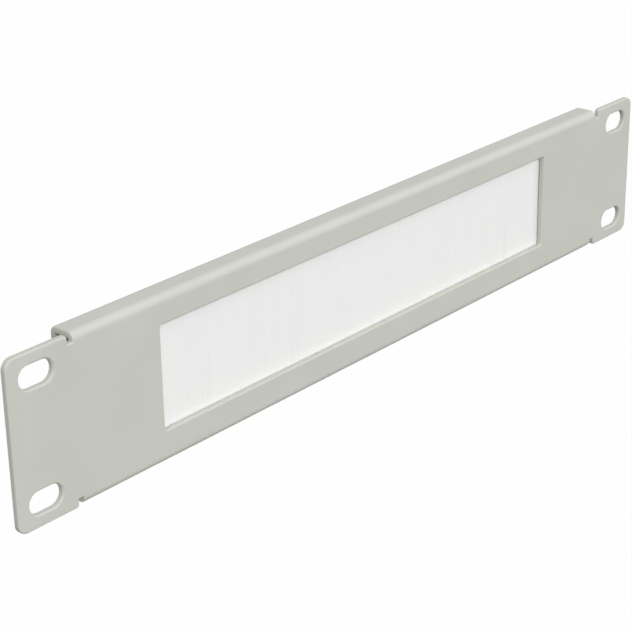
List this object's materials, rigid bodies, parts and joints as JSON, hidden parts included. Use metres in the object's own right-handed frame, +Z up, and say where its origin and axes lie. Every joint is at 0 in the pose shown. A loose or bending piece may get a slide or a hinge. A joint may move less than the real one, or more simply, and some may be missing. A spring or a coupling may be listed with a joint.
{
  "type": "rack brush strip panel",
  "caption": "Folded steel panel for a small equipment rack, with slotted ears and a long window that a hanging strip of bristles closes around passing cables.",
  "frame": {"origin": "centre of the mounting slots, on the sheet's rear face where the ears meet the rack's rails", "axes": "+X along the panel's length, to the right when seen from the front, +Y backwards into the rack, +Z up"},
  "size_m": [0.254, 0.0078, 0.0442],
  "materials": {
    "panel_paint": "fine matt powder coat, warm light grey",
    "channel_steel": "plain zinc-plated strip",
    "wire_steel": "drawn wire",
    "bristle_nylon": "fine pale filaments"
  },
  "bodies": {
    "root": {"folded_panel": "panel_paint", "brush_channel": "channel_steel", "core_wire": "wire_steel", "bristle_pack": "bristle_nylon"}
  },
  "joints": []
}
